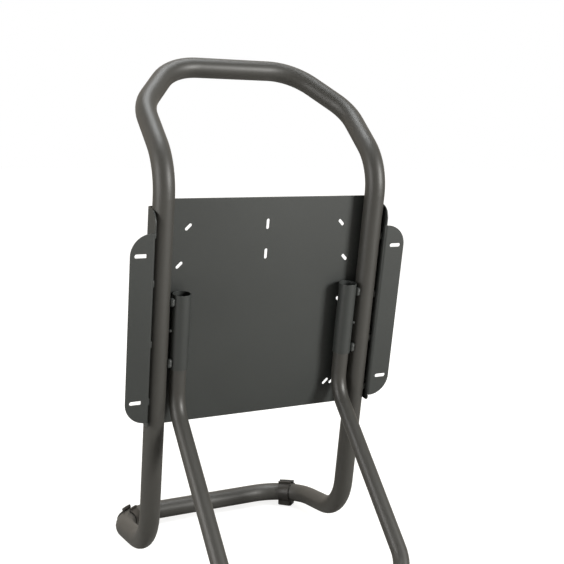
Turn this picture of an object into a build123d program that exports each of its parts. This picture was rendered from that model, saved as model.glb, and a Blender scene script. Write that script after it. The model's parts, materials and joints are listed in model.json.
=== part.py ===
"""Tubular equipment stand: a bent tube frame with a carrying handle, a folded mounting plate
and a plug-in rear leg. Millimetres, +Z up, +Y to the front, floor at z = 0."""

from build123d import *
from math import cos, radians, sin, sqrt, tan
import os

os.makedirs("parts", exist_ok=True)

# ---- driving dimensions ----------------------------------------------------------------
LEAN = 10.0                  # the uprights lean back from the vertical, degrees
TUBE_OD = 28.0               # main frame tube
TUBE_WALL = 1.5
LEG_OD = 22.0                # rear leg tube
LEG_WALL = 1.5
SLEEVE_OD = 25.0             # sleeve that the leg plugs into
SLIP = 0.05                  # radial clearance of the leg in its sleeve

# "up" runs along the uprights, "ahead" square to them towards the front
UPRIGHT_X = 154.5            # centre line of an upright, from the middle
HANDLE_CORNER_UP = 172.5     # where the upright line meets the handle plane
HANDLE_AHEAD = 167.0         # centre line of the handle bar
HANDLE_UP = 280.5
HANDLE_ELBOW = 0.57          # the second handle bend, as a share of the way to the bar
HANDLE_BAR_X = 93.5          # end of the bar, at its corner
HANDLE_RADIUS = 75.0
FLOOR_CORNER_UP = -366.5     # where the upright line meets the side rail
FLOOR_BAR_AHEAD = 165.0      # centre line of the front floor bar
FLOOR_BAR_UP = -412.3
FLOOR_RADIUS = 70.0
FRONT_BAR_HEIGHT = 18.0      # centre line of the front floor bar above the floor

SHEET = 1.5                  # mounting plate sheet
FIT_GAP = 0.05               # air between parts that touch along a line
PANEL_TOP, PANEL_BOTTOM = 127.4, -184.9
WALL_TOP, WALL_BOTTOM = 118.3, -174.4
FLANGE_TOP, FLANGE_BOTTOM = 90.6, -166.2
FLANGE_X = 201.0             # outer edge of a flange
FOLD_RADIUS = 2.0            # inside of every fold
WALL_TOP_ROUND, WALL_BOTTOM_ROUND = 18.0, 5.0
FLANGE_CLEAR = 2.0           # from the back of the tubes to the flanges' front face
RELIEF = 0.5                 # cut between a flange and the wall's tabs above and below it
FLANGE_ROUND = 29.0
RELIEF_X = 162.0             # side edge of the panel beyond the walls

# slots: overall length, width
CENTRE_SLOT = (14.5, 4.6)
DIAGONAL_SLOT = (11.5, 4.6)
FLANGE_SLOT = (17.5, 5.4)
# the panel's diagonal slots on the right half: across, up, angle from the horizontal
DIAGONAL_PLACES = [
    (114, 89.5, -45), (124.3, 38.5, -45), (122, -24.5, -45), (113, -150.5, 45), (124, -150.5, 45),
]
CENTRE_SLOTS_UP = [90.5, 49]
FLANGE_SLOT_X = 186.7
FLANGE_SLOTS_UP = [61.9, -136.4]

SLEEVE_X, SLEEVE_AHEAD = 124.7, -2.5
SLEEVE_TOP, SLEEVE_BOTTOM = 5.0, -98.5
LEG_TOP = -14.0              # top end of the leg inside its sleeve
LEG_KNEE_UP = -155.0         # where the leg's knee would be a sharp corner
LEG_KNEE_ANGLE = 52.5        # the leg turns back by this much
LEG_KNEE_RADIUS = 50.0
LEG_BAR_RADIUS = 60.0
LEG_BAR_HEIGHT = 16.0        # centre line of the rear floor bar above the floor

CLIP_LENGTH, CLIP_WALL = 23.0, 2.0
CLIP_LIP = 3.5               # how far the clip's top lip stands off the band
CLIP_SPLIT = 16.0            # half the split, degrees each side of the top
CLIP_TURN = 2.0              # the front clips sit this far from the middle of their bends, degrees
CLIP_CLEAR = 1.6             # the pad is cut free of the tube over this many clip lengths
PAD_WIDTH, PAD_ROUND = 21.0, 4.0
REAR_CLIP_X = 50.0

PLATE_BEAD_LENGTH, PLATE_BEAD_RADIUS = 11.0, 2.4
PLATE_BEAD_IN, PLATE_BEAD_AHEAD = 1.6, -7.4  # bead centre: from the wall inwards, ahead
SLEEVE_BEAD_AHEAD, SLEEVE_BEAD_RADIUS = -7.0, 4.0
TACK_LENGTH, TACK_AHEAD = 5.0, -4.0          # the small middle bead of a sleeve
WELDS_UP = {"left": [86, 22, -60, -140], "right": [74, -12, -78, -155]}
SLEEVE_WELDS = {  # up, length
    "left": [(-4.6, 12), (-44.6, TACK_LENGTH), (-89, 13)],
    "right": [(-7.5, 13), (-55, TACK_LENGTH), (-91.5, 14)],
}
BUTT_GAP = 1.2
BUTT_PROUD = 0.25            # the butt weld stands proud of the tube

# ---- where the leaning frame stands ----------------------------------------------------
S, C = sin(radians(LEAN)), cos(radians(LEAN))
TUBE_R, LEG_R, SLEEVE_R = TUBE_OD / 2, LEG_OD / 2, SLEEVE_OD / 2
RACK_Z = FRONT_BAR_HEIGHT - FLOOR_BAR_AHEAD * S - FLOOR_BAR_UP * C
knee_back = tan(radians(LEG_KNEE_ANGLE))  # back per unit down the uprights
knee_z = RACK_Z + SLEEVE_AHEAD * S + LEG_KNEE_UP * C
LEG_DROP = (knee_z - LEG_BAR_HEIGHT) / (knee_back * S + C)
LEG_BAR_AHEAD = SLEEVE_AHEAD - knee_back * LEG_DROP
LEG_BAR_UP = LEG_KNEE_UP - LEG_DROP
front_reach = FLOOR_BAR_AHEAD * C - FLOOR_BAR_UP * S + TUBE_R
rear_reach = LEG_BAR_AHEAD * C - LEG_BAR_UP * S - LEG_R - CLIP_WALL
RACK_Y = -(front_reach + rear_reach) / 2

UP = Vector(0, -S, C)
AHEAD = Vector(0, C, S)


def spot(across, ahead, up):
    """A point of the leaning frame in the row's own axes."""
    return Vector(across, RACK_Y, RACK_Z) + AHEAD * ahead + UP * up


def level(up, ahead=0.0, across=0.0):
    """The plane square to the uprights, x across, y ahead."""
    return Plane(origin=spot(across, ahead, up), x_dir=(1, 0, 0), z_dir=UP)


def facing(ahead):
    """The plane of the panel, x across, y up, facing back."""
    return Plane(origin=spot(0, ahead, 0), x_dir=(1, 0, 0), z_dir=-AHEAD)


def mirrored(points):
    return [Vector(-p.X, p.Y, p.Z) for p in reversed(points)]


def save(shape, name):
    shape.label = name
    export_step(shape, f"parts/{name}.step")


# ---- frame tube: one bent tube, from the middle of the front bar round and back --------
floor_corner = spot(UPRIGHT_X, 0, FLOOR_CORNER_UP)
front_corner = spot(UPRIGHT_X, FLOOR_BAR_AHEAD, FLOOR_BAR_UP)
handle_corner = spot(UPRIGHT_X, 0, HANDLE_CORNER_UP)
bar_end = spot(HANDLE_BAR_X, HANDLE_AHEAD, HANDLE_UP)
elbow_ahead = HANDLE_AHEAD * HANDLE_ELBOW
elbow_up = HANDLE_CORNER_UP + (HANDLE_UP - HANDLE_CORNER_UP) * HANDLE_ELBOW
elbow = spot(UPRIGHT_X, elbow_ahead, elbow_up)
butt = spot(BUTT_GAP / 2, FLOOR_BAR_AHEAD, FLOOR_BAR_UP)
half_loop = [butt, front_corner, floor_corner, handle_corner, elbow, bar_end]
loop_radii = [FLOOR_RADIUS] * 2 + [HANDLE_RADIUS] * 6 + [FLOOR_RADIUS] * 2

with BuildPart() as frame_tube:
    with BuildLine() as loop_path:
        FilletPolyline(*half_loop, *mirrored(half_loop), radius=loop_radii)
    with BuildSketch(Plane(origin=butt, z_dir=(1, 0, 0))):
        Circle(TUBE_R)
        Circle(TUBE_R - TUBE_WALL, mode=Mode.SUBTRACT)
    sweep(path=loop_path.wires()[0])
save(frame_tube.part, "frame_tube")

with BuildPart() as butt_weld:
    with BuildSketch(Plane(origin=(-BUTT_GAP / 2, butt.Y, butt.Z), z_dir=(1, 0, 0))):
        Circle(TUBE_R + BUTT_PROUD)
        Circle(TUBE_R - TUBE_WALL, mode=Mode.SUBTRACT)
    extrude(amount=BUTT_GAP)
save(butt_weld.part, "butt_weld")

# ---- mounting plate: one folded sheet, panel in front, walls outside the tubes, flanges ---
PANEL_FACE = TUBE_R + FIT_GAP            # the panel's back face, just ahead of the tubes
WALL_FACE = UPRIGHT_X + TUBE_R + FIT_GAP
panel_mid, wall_mid = PANEL_FACE + SHEET / 2, WALL_FACE + SHEET / 2
flange_mid = -TUBE_R - FLANGE_CLEAR - SHEET / 2
wall_end = flange_mid + SHEET / 2 + FOLD_RADIUS
tab_end = flange_mid - SHEET / 2         # the tabs reach back as far as the flanges
FAR = 400.0                              # longer than anything that is cut


def slots(places, size, side):
    """Round-ended slots at (across, up, angle) on one side."""
    for across, up, angle in places:
        with Locations((side * across, up)):
            SlotOverall(*size, rotation=side * angle)


def wall_plane(across):
    """The plane of a side wall, x ahead, y up, facing right."""
    return Plane(origin=spot(across, 0, 0), x_dir=AHEAD, z_dir=(1, 0, 0))


with BuildPart() as mounting_plate:
    with BuildSketch(level(PANEL_BOTTOM)):
        with BuildLine():
            bend = FilletPolyline(
                (-FLANGE_X, flange_mid), (-wall_mid, flange_mid), (-wall_mid, panel_mid),
                (wall_mid, panel_mid), (wall_mid, flange_mid), (FLANGE_X, flange_mid),
                radius=FOLD_RADIUS + SHEET / 2,
            )
            offset(bend, amount=SHEET / 2, side=Side.BOTH)
        make_face()
    extrude(amount=PANEL_TOP - PANEL_BOTTOM)
    # beyond the relief the sheet is only as tall as the walls
    with BuildSketch(facing(FAR / 2)):
        for side in (-1, 1):
            with Locations((side * (RELIEF_X + FAR / 2), 0)):
                Rectangle(FAR, 2 * FAR)
            with Locations((side * (RELIEF_X + FAR / 2), (WALL_TOP + WALL_BOTTOM) / 2)):
                Rectangle(FAR, WALL_TOP - WALL_BOTTOM, mode=Mode.SUBTRACT)
    extrude(amount=FAR, mode=Mode.SUBTRACT)
    # behind the walls only the flanges stay, with their outer corners round
    with BuildSketch(facing(wall_end)):
        Rectangle(2 * FAR, 2 * FAR)
        with BuildSketch(mode=Mode.SUBTRACT):
            with Locations((0, (FLANGE_TOP + FLANGE_BOTTOM) / 2)):
                RectangleRounded(2 * FLANGE_X, FLANGE_TOP - FLANGE_BOTTOM, FLANGE_ROUND)
    extrude(amount=FAR, mode=Mode.SUBTRACT)
    # above and below the flanges the walls reach back as flat tabs
    tabs = ((FLANGE_TOP + RELIEF, WALL_TOP), (WALL_BOTTOM, FLANGE_BOTTOM - RELIEF))
    for across in (-WALL_FACE - SHEET, WALL_FACE):
        with BuildSketch(wall_plane(across)):
            for low, high in tabs:
                with Locations(((wall_end + tab_end) / 2, (low + high) / 2)):
                    Rectangle(wall_end - tab_end, high - low)
        extrude(amount=SHEET)
    # the free corners of the walls are round
    corners = ((WALL_TOP, 1, WALL_TOP_ROUND), (WALL_BOTTOM, -1, WALL_BOTTOM_ROUND))
    for side in (-1, 1):
        with BuildSketch(wall_plane(side * (WALL_FACE - 1))):
            for end, way, radius in corners:
                with Locations((tab_end, end - way * radius / 2)):
                    Rectangle(2 * radius, radius)
                with Locations((tab_end + radius, end - way * radius)):
                    Circle(radius, mode=Mode.SUBTRACT)
        extrude(amount=side * (SHEET + 2), mode=Mode.SUBTRACT)
    with BuildSketch(facing(FAR / 2)):
        slots([(0, up, 90) for up in CENTRE_SLOTS_UP], CENTRE_SLOT, 1)
        for side in (-1, 1):
            slots(DIAGONAL_PLACES, DIAGONAL_SLOT, side)
            slots([(FLANGE_SLOT_X, up, 0) for up in FLANGE_SLOTS_UP], FLANGE_SLOT, side)
    extrude(amount=FAR, mode=Mode.SUBTRACT)
save(mounting_plate.part, "mounting_plate")

# ---- sleeves and the plug-in rear leg --------------------------------------------------
for name, side in (("sleeve_left", -1), ("sleeve_right", 1)):
    with BuildPart() as sleeve:
        with BuildSketch(level(SLEEVE_BOTTOM, SLEEVE_AHEAD, side * SLEEVE_X)):
            Circle(SLEEVE_R)
            Circle(LEG_R + SLIP, mode=Mode.SUBTRACT)
        extrude(amount=SLEEVE_TOP - SLEEVE_BOTTOM)
    save(sleeve.part, name)

leg_top = spot(SLEEVE_X, SLEEVE_AHEAD, LEG_TOP)
leg_knee = spot(SLEEVE_X, SLEEVE_AHEAD, LEG_KNEE_UP)
leg_corner = spot(SLEEVE_X, LEG_BAR_AHEAD, LEG_BAR_UP)
half_leg = [leg_top, leg_knee, leg_corner]
leg_radii = [LEG_KNEE_RADIUS, LEG_BAR_RADIUS, LEG_BAR_RADIUS, LEG_KNEE_RADIUS]

with BuildPart() as rear_leg:
    with BuildLine() as leg_path:
        FilletPolyline(*half_leg, *mirrored(half_leg), radius=leg_radii)
    with BuildSketch(Plane(origin=leg_top, x_dir=(1, 0, 0), z_dir=-UP)):
        Circle(LEG_R)
        Circle(LEG_R - LEG_WALL, mode=Mode.SUBTRACT)
    sweep(path=leg_path.wires()[0])
save(rear_leg.part, "rear_leg")
print("tube lengths", round(loop_path.wires()[0].length), round(leg_path.wires()[0].length))

# ---- foot clips: a split ring round the tube, two lips at the split, a pad underneath --
def clip_section(tube_r):
    """The clip's band and lips across the tube: y up, the split at the top."""
    inner, outer = tube_r + FIT_GAP, tube_r + FIT_GAP + CLIP_WALL
    half = radians(CLIP_SPLIT)
    Circle(outer)
    for way in (-1, 1):
        with Locations((way * (outer * sin(half) + CLIP_WALL / 2), outer * cos(half))):
            Rectangle(CLIP_WALL, 2 * CLIP_LIP, rotation=-way * CLIP_SPLIT)
    Circle(inner, mode=Mode.SUBTRACT)
    with Locations((0, outer)):
        Rectangle(2 * outer * sin(half), 2 * outer, mode=Mode.SUBTRACT)


def foot_clip(name, at, along, run, tube_r):
    """run(length) gives the stretch of the tube's centre line and the plane across its start."""
    with BuildPart() as clip:
        under = Plane(origin=(at.X, at.Y, 0), x_dir=(along.X, along.Y, 0), z_dir=(0, 0, 1))
        with BuildSketch(under):
            RectangleRounded(CLIP_LENGTH, PAD_WIDTH, PAD_ROUND)
        extrude(amount=at.Z - tube_r / 2)
        path, across = run(CLIP_CLEAR * CLIP_LENGTH)
        with BuildSketch(across):
            Circle(tube_r + FIT_GAP)
        sweep(path=path, mode=Mode.SUBTRACT)
        path, across = run(CLIP_LENGTH)
        with BuildSketch(across):
            clip_section(tube_r)
        sweep(path=path)
    save(clip.part, name)


# the front clips sit on the corner bends, a little to the side rails' end
rail = (front_corner - floor_corner).normalized()
for name, side in (("front_foot_left", -1), ("front_foot_right", 1)):
    outwards = Vector(side, 0, 0)
    corner = Vector(side * front_corner.X, front_corner.Y, front_corner.Z)
    bend_centre = corner - (outwards + rail) * FLOOR_RADIUS
    middle = (outwards + rail).normalized()
    along = (rail - outwards).normalized()

    def outward(turn):
        """From the bend's centre outwards, turned from its middle towards the front bar."""
        return middle * cos(turn) + along * sin(turn)

    def on_bend(length):
        clip_turn, half = -radians(CLIP_TURN), length / FLOOR_RADIUS / 2
        start, mid, end = (
            bend_centre + outward(clip_turn + turn) * FLOOR_RADIUS for turn in (-half, 0, half)
        )
        radial = outward(clip_turn - half)
        tangent = along * cos(clip_turn - half) - middle * sin(clip_turn - half)
        across = Plane(origin=start, x_dir=radial * -side, z_dir=tangent)
        return ThreePointArc(start, mid, end), across

    clip_at = bend_centre + outward(-radians(CLIP_TURN)) * FLOOR_RADIUS
    clip_along = along * cos(radians(CLIP_TURN)) + middle * sin(radians(CLIP_TURN))
    foot_clip(name, clip_at, clip_along, on_bend, TUBE_R)

# the rear clips sit on the straight of the rear bar
for name, side in (("rear_foot_left", -1), ("rear_foot_right", 1)):
    at = Vector(side * REAR_CLIP_X, leg_corner.Y, leg_corner.Z)

    def on_bar(length):
        ends = [at - Vector(length / 2, 0, 0), at + Vector(length / 2, 0, 0)]
        return Line(*ends), Plane(origin=ends[0], x_dir=(0, 1, 0), z_dir=(1, 0, 0))

    foot_clip(name, at, Vector(1, 0, 0), on_bar, LEG_R)

# ---- weld beads ------------------------------------------------------------------------
def bead(across, ahead, up, length, radius):
    """A bead with round ends along the uprights."""
    with Locations(level(up, ahead, across)):
        Cylinder(radius, length - 2 * radius)
    for end in (-1, 1):
        with Locations(level(up + end * (length / 2 - radius), ahead, across)):
            Sphere(radius)


def upright_core(side):
    """The room that an upright takes up."""
    with Locations(level(0, 0, side * UPRIGHT_X)):
        Cylinder(TUBE_R, FAR, mode=Mode.SUBTRACT)


def groove(ahead):
    """Across, midway between the surfaces of a sleeve and its upright."""
    upright_side = UPRIGHT_X - sqrt(TUBE_R**2 - ahead**2)
    sleeve_side = SLEEVE_X + sqrt(SLEEVE_R**2 - (ahead - SLEEVE_AHEAD) ** 2)
    return (upright_side + sleeve_side) / 2


# plate beads lie in the groove between an upright and the wall beside it
for name, side in (("left", -1), ("right", 1)):
    with BuildPart() as plate_welds:
        for up in WELDS_UP[name]:
            across = side * (WALL_FACE - PLATE_BEAD_IN)
            bead(across, PLATE_BEAD_AHEAD, up, PLATE_BEAD_LENGTH, PLATE_BEAD_RADIUS)
        upright_core(side)
        with Locations(level(0, 0, side * (WALL_FACE + FAR / 2))):
            Box(FAR, FAR, FAR, mode=Mode.SUBTRACT)
    save(plate_welds.part, f"plate_welds_{name}")

    # sleeve beads bridge the gap between a sleeve and its upright
    with BuildPart() as sleeve_welds:
        for up, length in SLEEVE_WELDS[name]:
            ahead = TACK_AHEAD if length == TACK_LENGTH else SLEEVE_BEAD_AHEAD
            bead(side * groove(ahead), ahead, up, length, min(SLEEVE_BEAD_RADIUS, length / 2))
        upright_core(side)
        with Locations(level(0, SLEEVE_AHEAD, side * SLEEVE_X)):
            Cylinder(SLEEVE_R, FAR, mode=Mode.SUBTRACT)
    save(sleeve_welds.part, f"sleeve_welds_{name}")
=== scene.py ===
# %% [markdown]
# # A tubular equipment stand, finished in Blender
#
# The shape of the stand comes from a CAD model: one bent tube with a carrying handle, a folded
# plate with screw slots, two sleeves and a plug-in rear leg. CAD gives the right sizes but bare
# surfaces. This lesson adds what the eye expects: powder coat with its fine texture, weld beads
# with their ripples, moulded clips with rounded edges, and soft studio light.
#
# Everything is in metres and in the CAD model's own frame, so nothing has to be fitted.

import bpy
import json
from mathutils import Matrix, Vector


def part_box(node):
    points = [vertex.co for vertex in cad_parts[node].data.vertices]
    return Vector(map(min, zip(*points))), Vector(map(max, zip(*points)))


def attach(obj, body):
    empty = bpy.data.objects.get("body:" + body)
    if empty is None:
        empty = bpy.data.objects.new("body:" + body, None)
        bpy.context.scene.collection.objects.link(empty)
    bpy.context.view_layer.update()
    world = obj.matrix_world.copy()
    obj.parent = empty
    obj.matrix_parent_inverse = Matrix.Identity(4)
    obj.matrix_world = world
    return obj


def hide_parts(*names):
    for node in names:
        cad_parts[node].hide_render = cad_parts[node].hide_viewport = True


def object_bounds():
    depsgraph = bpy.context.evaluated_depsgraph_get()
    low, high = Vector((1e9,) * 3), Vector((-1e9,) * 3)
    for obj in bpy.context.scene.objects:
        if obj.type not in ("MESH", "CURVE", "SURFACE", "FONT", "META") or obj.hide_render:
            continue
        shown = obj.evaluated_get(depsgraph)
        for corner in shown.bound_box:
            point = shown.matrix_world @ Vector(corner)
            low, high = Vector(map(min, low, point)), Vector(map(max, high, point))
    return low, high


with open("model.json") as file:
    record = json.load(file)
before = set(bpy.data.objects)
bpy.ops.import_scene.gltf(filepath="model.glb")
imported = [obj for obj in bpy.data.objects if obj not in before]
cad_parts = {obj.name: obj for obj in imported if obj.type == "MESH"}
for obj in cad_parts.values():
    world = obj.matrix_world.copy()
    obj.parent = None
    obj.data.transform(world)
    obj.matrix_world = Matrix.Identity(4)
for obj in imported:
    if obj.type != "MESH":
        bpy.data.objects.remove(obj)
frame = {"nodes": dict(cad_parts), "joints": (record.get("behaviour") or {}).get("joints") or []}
cad_nodes = frame["nodes"]
cad_low, cad_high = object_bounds()
print("CAD box", tuple(round(v, 4) for v in cad_low), tuple(round(v, 4) for v in cad_high))

# %% [markdown]
# ## The leaning axes
#
# The uprights lean back by ten degrees, and the plate, sleeves and welds lean with them. It is
# easiest to place such pieces in leaning axes: across, ahead (square to the uprights, to the
# front) and up (along the uprights). The rear leg slides straight down out of its sleeves, so
# the joint in the record already holds the direction of the uprights. The origin is found from
# the two sleeves, because the middle of a cylinder's box is the middle of the cylinder.

# %% Place things along the leaning uprights
from math import cos, pi, radians, sin, sqrt

import bmesh
import bpy
from mathutils import Quaternion, Vector

MM = 0.001
ACROSS = Vector((1, 0, 0))
UP = -Vector(frame["joints"][0]["axis"]).normalized()
AHEAD = UP.cross(ACROSS)
SLEEVE_ACROSS, SLEEVE_AHEAD = 124.7, -2.5
SLEEVE_TOP, SLEEVE_BOTTOM = 5.0, -98.5


def middle(node):
    low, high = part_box(node)
    return (low + high) / 2


sleeve_middle = (middle("sleeve_left") + middle("sleeve_right")) / 2
RACK = sleeve_middle - MM * (SLEEVE_AHEAD * AHEAD + (SLEEVE_TOP + SLEEVE_BOTTOM) / 2 * UP)


def spot(across, ahead, up):
    """A point of the leaning frame, given in millimetres, in the CAD model's frame."""
    return RACK + MM * (across * ACROSS + ahead * AHEAD + up * UP)


print("rack origin", tuple(round(v, 4) for v in RACK), "up", tuple(round(v, 3) for v in UP))

# %% [markdown]
# ## The camera
#
# The stand is seen from behind and a little from its left, slightly from above. A lens of about
# 60 mm on a 36 mm sensor keeps the perspective mild: the rear leg looks only a little larger
# than the handle. The camera aims just above and beside the middle of the CAD box, and shift and
# depth of field stay off, so that the same camera works for every other view.

# %% Camera
VIEW_AZIMUTH, VIEW_ELEVATION, VIEW_ROLL = radians(-26.395), radians(7.402), radians(0.122)
VIEW_DISTANCE = 1.2977
AIM_RIGHT, AIM_UP = 0.0313, 0.0470
LENS = 59.48

camera = bpy.data.objects.new("camera", bpy.data.cameras.new("camera"))
bpy.context.scene.collection.objects.link(camera)
camera.data.lens = LENS
camera.data.sensor_width = 36
towards_camera = Vector((
    sin(VIEW_AZIMUTH) * cos(VIEW_ELEVATION),
    -cos(VIEW_AZIMUTH) * cos(VIEW_ELEVATION),
    sin(VIEW_ELEVATION),
))
level_view = (-towards_camera).to_track_quat("-Z", "Y")
aim = (cad_low + cad_high) / 2 + level_view @ Vector((AIM_RIGHT, AIM_UP, 0))
camera.rotation_mode = "QUATERNION"
camera.location = aim + towards_camera * VIEW_DISTANCE
camera.rotation_quaternion = level_view @ Quaternion((0, 0, 1), VIEW_ROLL)
bpy.context.scene.camera = camera
bpy.context.scene.view_settings.view_transform = "Standard"
print("camera at", tuple(round(v, 3) for v in camera.location))

# %% [markdown]
# ## Shader maths as plain expressions
#
# A procedural finish is a small graph of nodes. Written out link by link it is hard to read, so
# one class wraps an output socket and lets it be added, multiplied and compared like a number.
# Each operator adds a Math node. Another class holds a node tree and has the one method that
# makes every other node: its settings first, then the values or links of its sockets.

# %% Sockets that behave like numbers
class Channel:
    """One output socket of a node tree. Arithmetic on it adds Math nodes."""

    def __init__(self, tree, socket):
        self.tree, self.socket = tree, socket

    def maths(self, operation, *values):
        inputs = dict(enumerate(values))
        return self.tree.node("ShaderNodeMath", {"operation": operation}, inputs)

    def __add__(self, other):
        return self.maths("ADD", self, other)

    def __radd__(self, other):
        return self.maths("ADD", other, self)

    def __sub__(self, other):
        return self.maths("SUBTRACT", self, other)

    def __rsub__(self, other):
        return self.maths("SUBTRACT", other, self)

    def __mul__(self, other):
        return self.maths("MULTIPLY", self, other)

    def __rmul__(self, other):
        return self.maths("MULTIPLY", other, self)

    def __truediv__(self, other):
        return self.maths("DIVIDE", self, other)

    def wave(self):
        return self.maths("SINE", self)

    def size(self):
        return self.maths("ABSOLUTE", self)

    def between(self, start, end):
        """0 below start, 1 above end and a smooth step between them."""
        settings = {"interpolation_type": "SMOOTHSTEP"}
        return self.tree.node("ShaderNodeMapRange", settings, {0: self, 1: start, 2: end})


class Nodes:
    """A node tree that is filled by calling node()."""

    def __init__(self, tree):
        self.tree = tree
        tree.nodes.clear()

    def node(self, kind, settings=None, inputs=None, output=0):
        """Adds a node: settings first, then values or links of its sockets; returns an output."""
        made = self.tree.nodes.new(kind)
        for name, value in (settings or {}).items():
            if name == "stops":
                self.set_stops(made.color_ramp, value)
            else:
                setattr(made, name, value)
        for key, value in (inputs or {}).items():
            socket = self.find(made.inputs, key)
            if isinstance(value, Channel):
                self.tree.links.new(value.socket, socket)
            else:
                socket.default_value = value
        if not made.outputs:
            return None
        return Channel(self, self.find(made.outputs, output))

    @staticmethod
    def find(sockets, key):
        """A socket by its place, or by its identifier, which is unique where names repeat."""
        if isinstance(key, int):
            return sockets[key]
        return next(s for s in sockets if key in (s.identifier, s.name))

    @staticmethod
    def set_stops(ramp, stops):
        while len(ramp.elements) < len(stops):
            ramp.elements.new(0.5)
        for element, (place, colour) in zip(ramp.elements, stops):
            element.position, element.color = place, colour

    def mix(self, factor, first, second):
        """A colour between first and second."""
        sockets = {"Factor_Float": factor, "A_Color": first, "B_Color": second}
        settings = {"data_type": "RGBA"}
        return self.node("ShaderNodeMix", settings, sockets, "Result_Color")

    def noise(self, place, scale, detail=2.0, roughness=0.5):
        """Smooth noise around 0.5, with scale in bumps per metre."""
        sockets = {"Vector": place, "Scale": scale, "Detail": detail, "Roughness": roughness}
        return self.node("ShaderNodeTexNoise", {}, sockets, "Fac")

    def dot(self, vector, direction):
        sockets = {0: vector, 1: direction}
        return self.node("ShaderNodeVectorMath", {"operation": "DOT_PRODUCT"}, sockets, "Value")


print("shader helpers ready")

# %% [markdown]
# ## Studio: floor, backdrop and lamps
#
# A product like this is shot on a white sweep. The side behind the object is bright, and the
# side behind the camera is dark, which is what gives round tubes their bright rims and darker
# middles. The world does this job with a smooth step from back to front, and its bright side is
# slightly warm. Rays that go straight to the background see plain white, as after the usual
# cut-out.
#
# The floor is a large pale disc. A little of its own glow, seen by the eye but not by the
# object, lets it run into the white background without a hard horizon, and the soft shadows
# under the feet stay.

# %% World and floor
WHITE = (1.0, 1.0, 1.0, 1.0)
SWEEP_LIGHT = (0.78, 0.71, 0.62, 1.0)
ROOM_DARK = (0.024, 0.023, 0.021, 1.0)
STEP_START, STEP_END = -0.30, 0.55

world = bpy.data.worlds.new("studio")
bpy.context.scene.world = world
world.use_nodes = True
sky = Nodes(world.node_tree)
direction = sky.node("ShaderNodeTexCoord", output="Generated")
front = sky.dot(direction, (0, 1, 0)).between(STEP_START, STEP_END)
room = sky.mix(front, ROOM_DARK, SWEEP_LIGHT)
seen_directly = sky.node("ShaderNodeLightPath", output="Is Camera Ray")
background = sky.node("ShaderNodeBackground", {}, {"Color": sky.mix(seen_directly, room, WHITE)})
sky.node("ShaderNodeOutputWorld", {}, {"Surface": background})

FLOOR_RADIUS_M = 60.0
NEAR_GLOW, FAR_GLOW = 0.80, 1.0
NEAR_REACH_M, FAR_REACH_M = 0.35, 1.6
PAPER_DARK, PAPER_LIGHT = (0.36, 0.355, 0.34, 1), (0.40, 0.395, 0.38, 1)
PAPER_CLOUDS = 1.5
floor_shape = bmesh.new()
bmesh.ops.create_circle(floor_shape, cap_ends=True, radius=FLOOR_RADIUS_M, segments=128)
floor_mesh = bpy.data.meshes.new("floor")
floor_shape.to_mesh(floor_mesh)
floor_shape.free()
floor = bpy.data.objects.new("floor", floor_mesh)
bpy.context.scene.collection.objects.link(floor)

paper = bpy.data.materials.new("pale_sweep")
paper.use_nodes = True
sweep = Nodes(paper.node_tree)
where = sweep.node("ShaderNodeTexCoord", output="Object")
tone = sweep.mix(sweep.noise(where, PAPER_CLOUDS), PAPER_DARK, PAPER_LIGHT)
lit = sweep.node("ShaderNodeBsdfDiffuse", {}, {"Color": tone})
reach = sweep.node("ShaderNodeVectorMath", {"operation": "LENGTH"}, {0: where}, "Value")
far = reach.between(NEAR_REACH_M, FAR_REACH_M)
near_grey, far_grey = (NEAR_GLOW,) * 3 + (1,), (FAR_GLOW,) * 3 + (1,)
glow = sweep.node("ShaderNodeEmission", {}, {"Color": sweep.mix(far, near_grey, far_grey)})
both = sweep.node("ShaderNodeAddShader", {}, {0: lit, 1: glow})
direct = sweep.node("ShaderNodeLightPath", output="Is Camera Ray")
shown = sweep.node("ShaderNodeMixShader", {}, {0: direct, 1: lit, 2: both})
sweep.node("ShaderNodeOutputMaterial", {}, {"Surface": shown})
floor_mesh.materials.append(paper)
print("floor disc", FLOOR_RADIUS_M, "m")

# %% [markdown]
# The key lamp stands behind the stand and to its right, and shines slightly down on the plate.
# It is small enough for a clear shadow of the upright and the sleeve on the plate, and large
# enough for a soft edge. A softbox on the left keeps the side wall of the plate readable, and a
# slightly cooler one, nearly straight above, lights the floor and the top of the handle.

# %% Lamps
plate_middle = middle("mounting_plate")


def lamp(name, azimuth, elevation, distance, wide, high, watts, colour):
    """A rectangular softbox that faces the middle of the plate."""
    data = bpy.data.lights.new(name, "AREA")
    data.shape = "RECTANGLE"
    data.size, data.size_y = wide, high
    data.energy, data.color = watts, colour
    made = bpy.data.objects.new(name, data)
    bpy.context.scene.collection.objects.link(made)
    a, e = radians(azimuth), radians(elevation)
    out = Vector((sin(a) * cos(e), -cos(a) * cos(e), sin(e)))
    made.location = plate_middle + out * distance
    made.rotation_euler = (-out).to_track_quat("-Z", "Y").to_euler()
    made.visible_camera = False
    print("lamp", name, watts, "W")


lamp("key", 36, 15, 3.0, 0.72, 1.10, 98, (1.0, 0.99, 0.96))
lamp("left_fill", -80, 10, 2.0, 1.0, 1.4, 26, (1.0, 0.985, 0.96))
lamp("overhead", 150, 84, 2.6, 1.3, 1.3, 46, (0.95, 0.98, 1.0))
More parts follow.
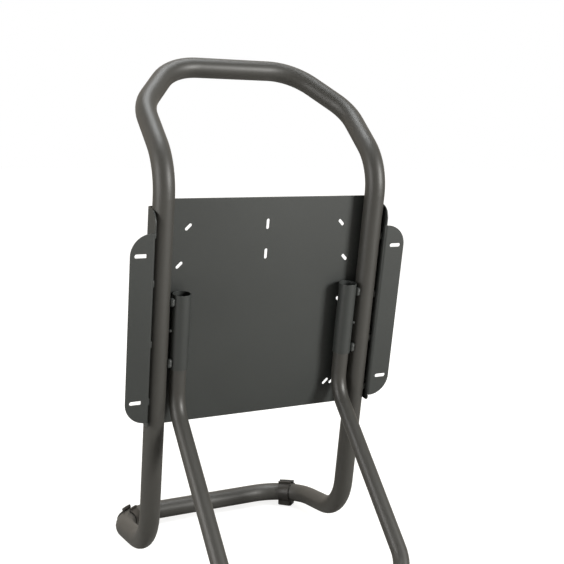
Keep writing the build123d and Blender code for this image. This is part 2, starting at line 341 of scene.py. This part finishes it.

# %% [markdown]
# ## Powder coat
#
# The metal is powder coated in a satin anthracite with a fine texture. Powder melts into a skin
# with two scales of unevenness: grains of about a millimetre that take the gloss away, and a
# slow orange peel of a few millimetres. The colour drifts very slightly over a part, because
# the coat is never the same thickness everywhere. It thins on cut edges, which look a touch
# glossier. The edges are also painted lighter, partly for that wear and partly as a painted
# highlight along them, so the plate and the sleeves have it and the round tubes do not.
#
# The edge mask compares the true normal with the normal of a rounded-off copy of the surface,
# which the Bevel node gives. Where they differ there is an edge.

# %% Powder coat finish
PEEL_SCALE, DRIFT_SCALE = 240, 7
DRIFT_START, DRIFT_END = 0.3, 0.7
GRAIN_TONE, PEEL_TONE, DRIFT_TONE, LEAST_TONE = 0.55, 0.25, 0.24, 0.38
GRAIN_ROUGH, DRIFT_ROUGH = 0.22, 0.10
GRAIN_HEIGHT, PEEL_HEIGHT = 0.030 * MM, 0.045 * MM
EDGE_START, EDGE_END = 0.02, 0.22
# Edge band: its radius, and the paler colour painted on it, which is partly coat wear and partly
# a painted highlight; the shine is lower roughness.
EDGE_WEAR_AND_HIGHLIGHT_RADIUS, EDGE_WEAR_AND_HIGHLIGHT_LIGHTER, EDGE_WEAR_AND_HIGHLIGHT_TONE, WEAR_SHINE = 0.7 * MM, 1.55, 0.55, 0.08
SOFT_RADIUS = 0.5 * MM
COAT_BUMP, COAT_IOR = 0.8, 1.58


def finish(name):
    """An empty material, its nodes and the place in metres."""
    material = bpy.data.materials.new(name)
    material.use_nodes = True
    nodes = Nodes(material.node_tree)
    return material, nodes, nodes.node("ShaderNodeTexCoord", output="Object")


def edges(nodes, radius):
    """1 on sharp edges and 0 on open faces, over a band of that radius."""
    rounded = nodes.node("ShaderNodeBevel", {"samples": 6}, {"Radius": radius})
    true = nodes.node("ShaderNodeNewGeometry", output="Normal")
    return (1 - nodes.dot(rounded, true)).between(EDGE_START, EDGE_END)


def powder_coat(name, dark, light, rough, grain=1000, extra_height=None, soften=False):
    """Satin powder coat. rough is its middle roughness and grain is in bumps per metre.

    extra_height(nodes, place) adds relief in metres, and soften rounds the edges, makes them
    glossier and paints them paler, partly as wear and partly as a painted highlight.
    """
    material, nodes, place = finish(name)
    grains = nodes.noise(place, grain, 3, 0.6)
    peel = nodes.noise(place, PEEL_SCALE, 2)
    drift = nodes.noise(place, DRIFT_SCALE, 2)
    speck = (grains - 0.5) * GRAIN_TONE + (peel - 0.5) * PEEL_TONE
    clouds = drift.between(DRIFT_START, DRIFT_END) * DRIFT_TONE
    tone = nodes.mix(clouds + LEAST_TONE + speck, dark, light)
    roughness = rough + (grains - 0.5) * GRAIN_ROUGH + (drift - 0.5) * DRIFT_ROUGH
    if soften:
        # Paler edge colour: partly coat worn thin, partly a painted highlight along the edges.
        edge = edges(nodes, EDGE_WEAR_AND_HIGHLIGHT_RADIUS)
        pale_edge = tuple(EDGE_WEAR_AND_HIGHLIGHT_LIGHTER * c for c in light[:3]) + (1.0,)
        tone = nodes.mix(edge * EDGE_WEAR_AND_HIGHLIGHT_TONE, tone, pale_edge)
        roughness = roughness - edge * WEAR_SHINE
    height = grains * GRAIN_HEIGHT + peel * PEEL_HEIGHT
    if extra_height:
        height = height + extra_height(nodes, place)
    relief = {"Strength": COAT_BUMP, "Distance": 1.0, "Height": height}
    if soften:
        relief["Normal"] = nodes.node("ShaderNodeBevel", {"samples": 8}, {"Radius": SOFT_RADIUS})
    bump = nodes.node("ShaderNodeBump", {}, relief)
    shader = nodes.node("ShaderNodeBsdfPrincipled", {}, {
        "Base Color": tone, "Roughness": roughness, "Normal": bump, "IOR": COAT_IOR,
    })
    nodes.node("ShaderNodeOutputMaterial", {}, {"Surface": shader})
    return material


def dress(node, material):
    """Gives a CAD node its finish."""
    mesh = cad_nodes[node].data
    mesh.materials.clear()
    mesh.materials.append(material)
    print("dressed", node, "in", material.name)


# One coat in two copies: the plate, sleeves and beads get a darker, cooler copy, which is painted
# shade, and the frame tube and leg get a lighter, warmer copy, which is painted light.
SHADED_COAT_DARK, SHADED_COAT_PALE = (0.0255, 0.0284, 0.0272, 1), (0.0375, 0.0418, 0.0400, 1)
LIT_COAT_DARK, LIT_COAT_PALE = (0.038, 0.0368, 0.033, 1), (0.055, 0.0532, 0.048, 1)
dress("mounting_plate", powder_coat("coat_plate", SHADED_COAT_DARK, SHADED_COAT_PALE, 0.47, 900, soften=True))

# %% [markdown]
# The frame tube is bent on a mandrel. Just above the plate, where the handle bend begins, the
# tool leaves a few shallow rings in the tube, which show through the coat. They are a
# sine wave along the upright, faded out a few millimetres from the start of the bend.

# %% Frame tube, sleeves and leg
BEND_START_UP = 133.0
BEND_RING_PITCH, BEND_RING_HEIGHT = 2.6, 0.030 * MM
BEND_RING_FULL, BEND_RING_GONE = 2.0, 7.0


def bending_rings(nodes, place):
    """Shallow rings round the uprights where the handle bend begins."""
    along = (nodes.dot(place, tuple(UP)) - RACK.dot(UP)) / MM - BEND_START_UP
    window = 1 - along.size().between(BEND_RING_FULL, BEND_RING_GONE)
    ripple = (along * (2 * pi / BEND_RING_PITCH)).wave()
    return ripple * window * BEND_RING_HEIGHT


frame_coat = powder_coat("coat_tube", LIT_COAT_DARK, LIT_COAT_PALE, 0.48, extra_height=bending_rings)
dress("frame_tube", frame_coat)
dress("rear_leg", powder_coat("coat_leg", LIT_COAT_DARK, LIT_COAT_PALE, 0.45))
sleeve_coat = powder_coat("coat_sleeve", SHADED_COAT_DARK, SHADED_COAT_PALE, 0.48, soften=True)
for side in ("left", "right"):
    dress(f"sleeve_{side}", sleeve_coat)

# %% [markdown]
# ## Weld beads
#
# The plate and the sleeves hold to the uprights by short beads. A bead is a row of overlapping
# scallops, each one a puddle of metal that froze before the next was laid over it. Plain
# rounded bars would look like putty, so every bead is built from rings along its length whose
# size steps down once per scallop, with the steps curved back at the sides.
#
# Each CAD weld node holds several separate beads. Their heights and lengths are read from the
# loose parts of its mesh, so the new beads lie exactly where the CAD has them.

# %% Read the beads of a weld node
def leaning(point):
    """A point's across, ahead and up in millimetres."""
    offset = (point - RACK) / MM
    return offset.dot(ACROSS), offset.dot(AHEAD), offset.dot(UP)


def loose_parts(node):
    """The (lowest, highest) height of every separate lump of a CAD node."""
    lumps = bmesh.new()
    lumps.from_mesh(cad_nodes[node].data)
    bmesh.ops.remove_doubles(lumps, verts=lumps.verts, dist=0.01 * MM)
    waiting, spans = set(lumps.verts), []
    while waiting:
        edge_of_lump = [waiting.pop()]
        heights = []
        while edge_of_lump:
            vertex = edge_of_lump.pop()
            heights.append(leaning(vertex.co)[2])
            for link in vertex.link_edges:
                other = link.other_vert(vertex)
                if other in waiting:
                    waiting.remove(other)
                    edge_of_lump.append(other)
        spans.append((min(heights), max(heights)))
    lumps.free()
    return sorted(spans)


left_spans = [(round(low), round(high)) for low, high in loose_parts("sleeve_welds_left")]
print("sleeve beads on the left at", left_spans)

# %% [markdown]
# The scallops are a saw tooth along the bead. Its phase moves with the angle round the bead, so
# a step is a crescent and not a straight ring. A slow wave makes the bead a little uneven, as a
# hand-laid one is.

# %% Build a rippled bead
SCALLOP = 1.5
RING_STEP, RING_SIDES, FEWEST_RINGS = 0.25, 28, 8
BEAD_START, BEAD_SPAN = 0.02, 0.96
CRESCENT = 0.45
CREST, STEP_DEPTH = 0.99, 0.10
UNEVEN, UNEVEN_WAVE, UNEVEN_SHIFT = 0.03, 0.8, 3


def rippled_bead(shape, across, ahead, low, high, radius, outward, phase):
    """Adds one bead between two heights; outward is the angle that its free side faces."""
    length = high - low
    count = max(FEWEST_RINGS, round(length / RING_STEP))
    rings = []
    for step in range(count + 1):
        along = length * (BEAD_START + BEAD_SPAN * step / count)
        from_end = min(along, length - along)
        bulge = radius if from_end >= radius else sqrt(radius**2 - (radius - from_end) ** 2)
        ring = []
        for corner in range(RING_SIDES):
            angle = 2 * pi * corner / RING_SIDES
            crescent = CRESCENT * radius * cos(angle - outward)
            saw = ((along + crescent) / SCALLOP + phase) % 1.0
            uneven = 1 + UNEVEN * sin(along * UNEVEN_WAVE + UNEVEN_SHIFT * phase)
            reach = bulge * (CREST - STEP_DEPTH * saw) * uneven
            place = spot(across + reach * cos(angle), ahead + reach * sin(angle), low + along)
            ring.append(shape.verts.new(place))
        rings.append(ring)
    for first, second in zip(rings, rings[1:]):
        for i in range(RING_SIDES):
            j = (i + 1) % RING_SIDES
            shape.faces.new((first[i], first[j], second[j], second[i]))
    shape.faces.new(reversed(rings[0]))
    shape.faces.new(rings[-1])


def mesh_piece(name, shape, material, body, slot, *nodes):
    """Turns a bmesh into a smooth piece that rides on a body and stands for CAD nodes."""
    bmesh.ops.recalc_face_normals(shape, faces=shape.faces)
    for face in shape.faces:
        face.smooth = True
    mesh = bpy.data.meshes.new(name)
    shape.to_mesh(mesh)
    shape.free()
    mesh.materials.append(material)
    piece = bpy.data.objects.new(name, mesh)
    bpy.context.scene.collection.objects.link(piece)
    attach(piece, body)
    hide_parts(*nodes)
    print("piece", name, len(mesh.vertices), "vertices")


# %% [markdown]
# The coat over a bead is the same powder, but it runs off the crests and gathers in the
# valleys, so its grain is finer and a touch duller than on the tube.

# %% Lay the beads
TUBE_RADIUS, SLEEVE_RADIUS, UPRIGHT_ACROSS = 14.0, 12.5, 154.5
PLATE_BEAD_ACROSS, PLATE_BEAD_AHEAD, PLATE_BEAD_RADIUS = 166.95, -7.4, 2.4
BEAD_AHEAD, BEAD_RADIUS = -7.0, 4.0
TACK_AHEAD, TACK_RADIUS, LONGEST_TACK = -4.0, 2.5, 6.0
BACKWARD = -pi / 2
PLATE_PHASE, SLEEVE_PHASE = 0.31, 0.23
BEAD_ROUGH, BEAD_GRAIN = 0.50, 1300


def groove(ahead):
    """Across, midway between the surfaces of a sleeve and its upright."""
    upright_side = UPRIGHT_ACROSS - sqrt(TUBE_RADIUS**2 - ahead**2)
    sleeve_side = SLEEVE_ACROSS + sqrt(SLEEVE_RADIUS**2 - (ahead - SLEEVE_AHEAD) ** 2)
    return (upright_side + sleeve_side) / 2


bead_coat = powder_coat("coat_bead", SHADED_COAT_DARK, SHADED_COAT_PALE, BEAD_ROUGH, BEAD_GRAIN)
for side, way in (("left", -1), ("right", 1)):
    node = f"plate_welds_{side}"
    plate_beads = bmesh.new()
    for number, (low, high) in enumerate(loose_parts(node)):
        across, phase = way * PLATE_BEAD_ACROSS, PLATE_PHASE * number
        rippled_bead(plate_beads, across, PLATE_BEAD_AHEAD, low, high, PLATE_BEAD_RADIUS,
                     BACKWARD, phase)
    mesh_piece(f"plate_beads_{side}", plate_beads, bead_coat, "frame", "coated_weld", node)

    node = f"sleeve_welds_{side}"
    sleeve_beads = bmesh.new()
    for number, (low, high) in enumerate(loose_parts(node)):
        tack = high - low < LONGEST_TACK
        ahead = TACK_AHEAD if tack else BEAD_AHEAD
        radius = TACK_RADIUS if tack else BEAD_RADIUS
        across, phase = way * groove(ahead), SLEEVE_PHASE * number
        rippled_bead(sleeve_beads, across, ahead, low, high, radius, BACKWARD, phase)
    mesh_piece(f"sleeve_beads_{side}", sleeve_beads, bead_coat, "frame", "coated_weld", node)

# %% [markdown]
# The frame tube is closed into a loop in the middle of the front floor bar. There the ends are
# welded all the way round and dressed back, which leaves a low, slightly uneven collar. It is
# one strip of rings round the tube, each a little proud in the middle, with the scallops
# following one another round the circle.

# %% Butt weld collar
COLLAR_HALF_WIDTH, COLLAR_PROUD = 1.8, 0.30
COLLAR_STEPS, COLLAR_TURN = 10, 180
COLLAR_BOW, COLLAR_SUNK, COLLAR_RIPPLE = 0.4, 0.05, 0.35

weld_middle = middle("butt_weld")
collar = bmesh.new()
collar_rings = []
for turn in range(COLLAR_TURN):
    angle = 2 * pi * turn / COLLAR_TURN
    strip = []
    for step in range(COLLAR_STEPS + 1):
        aside = COLLAR_HALF_WIDTH * (2 * step / COLLAR_STEPS - 1)
        off_middle = (aside / COLLAR_HALF_WIDTH) ** 2
        saw = (TUBE_RADIUS * angle / SCALLOP + COLLAR_BOW * off_middle) % 1.0
        proud = COLLAR_PROUD * (1 - off_middle) * (1 - COLLAR_RIPPLE * saw)
        reach = TUBE_RADIUS - COLLAR_SUNK + proud
        offset = Vector((aside, reach * cos(angle), reach * sin(angle)))
        strip.append(collar.verts.new(weld_middle + offset * MM))
    collar_rings.append(strip)
for first, second in zip(collar_rings, collar_rings[1:] + collar_rings[:1]):
    for step in range(COLLAR_STEPS):
        collar.faces.new((first[step], second[step], second[step + 1], first[step + 1]))
mesh_piece("butt_weld_collar", collar, bead_coat, "frame", "coated_tube", "butt_weld")

# %% [markdown]
# ## Foot clips
#
# The four clips are moulded in a soft black-brown plastic: a split band, two lips where the
# band is pressed open, and a pad on the floor. Moulded edges are never sharp, so the shading
# normal is rounded over half a millimetre by the Bevel node. The surface has the fine spark
# texture of the mould, slow flow marks, and the pads are dusty and rubbed pale near the floor.

# %% Moulded plastic
PLASTIC_DARK, PLASTIC_LIGHT = (0.017, 0.0155, 0.0135, 1), (0.032, 0.029, 0.025, 1)
DUST, WORN_PLASTIC = (0.16, 0.15, 0.135, 1), (0.075, 0.070, 0.062, 1)
SPARK_SCALE, FLOW_SCALE, DUST_SCALE = 1600, 90, 420
SPARK_HEIGHT, FLOW_HEIGHT = 0.020 * MM, 0.060 * MM
SPARK_TONE, FLOW_TONE, DUST_TONE = 0.5, 0.8, 0.5
PLASTIC_ROUGH, SPARK_ROUGH, DUST_ROUGH = 0.44, 0.2, 0.3
DUST_FULL, DUST_GONE = 0.3, 3.5
MOULD_WEAR_RADIUS, MOULD_WEAR, MOULD_ROUND = 0.6 * MM, 0.35, 0.5 * MM
PLASTIC_BUMP, PLASTIC_IOR = 0.7, 1.5

clip_plastic, moulded, place = finish("moulded_plastic")
spark = moulded.noise(place, SPARK_SCALE, 3, 0.65)
flow = moulded.noise(place, FLOW_SCALE, 3, 0.6)
height_off_floor = moulded.dot(place, (0, 0, 1)) / MM
near_floor = 1 - height_off_floor.between(DUST_FULL, DUST_GONE)
rubbed = near_floor * moulded.noise(place, DUST_SCALE, 4, 0.7)
marks = flow.between(DRIFT_START, DRIFT_END) * FLOW_TONE + (spark - 0.5) * SPARK_TONE
tone = moulded.mix(marks, PLASTIC_DARK, PLASTIC_LIGHT)
pale_edge = moulded.mix(edges(moulded, MOULD_WEAR_RADIUS) * MOULD_WEAR, tone, WORN_PLASTIC)
soft_edge = moulded.node("ShaderNodeBevel", {"samples": 8}, {"Radius": MOULD_ROUND})
texture = moulded.node("ShaderNodeBump", {}, {
    "Strength": PLASTIC_BUMP, "Distance": 1.0, "Normal": soft_edge,
    "Height": spark * SPARK_HEIGHT + flow * FLOW_HEIGHT,
})
plastic = moulded.node("ShaderNodeBsdfPrincipled", {}, {
    "Base Color": moulded.mix(rubbed * DUST_TONE, pale_edge, DUST),
    "Roughness": PLASTIC_ROUGH + (spark - 0.5) * SPARK_ROUGH + rubbed * DUST_ROUGH,
    "Normal": texture, "IOR": PLASTIC_IOR,
})
moulded.node("ShaderNodeOutputMaterial", {}, {"Surface": plastic})
for clip in ("front_foot_left", "front_foot_right", "rear_foot_left", "rear_foot_right"):
    dress(clip, clip_plastic)

# %% Finish
import json
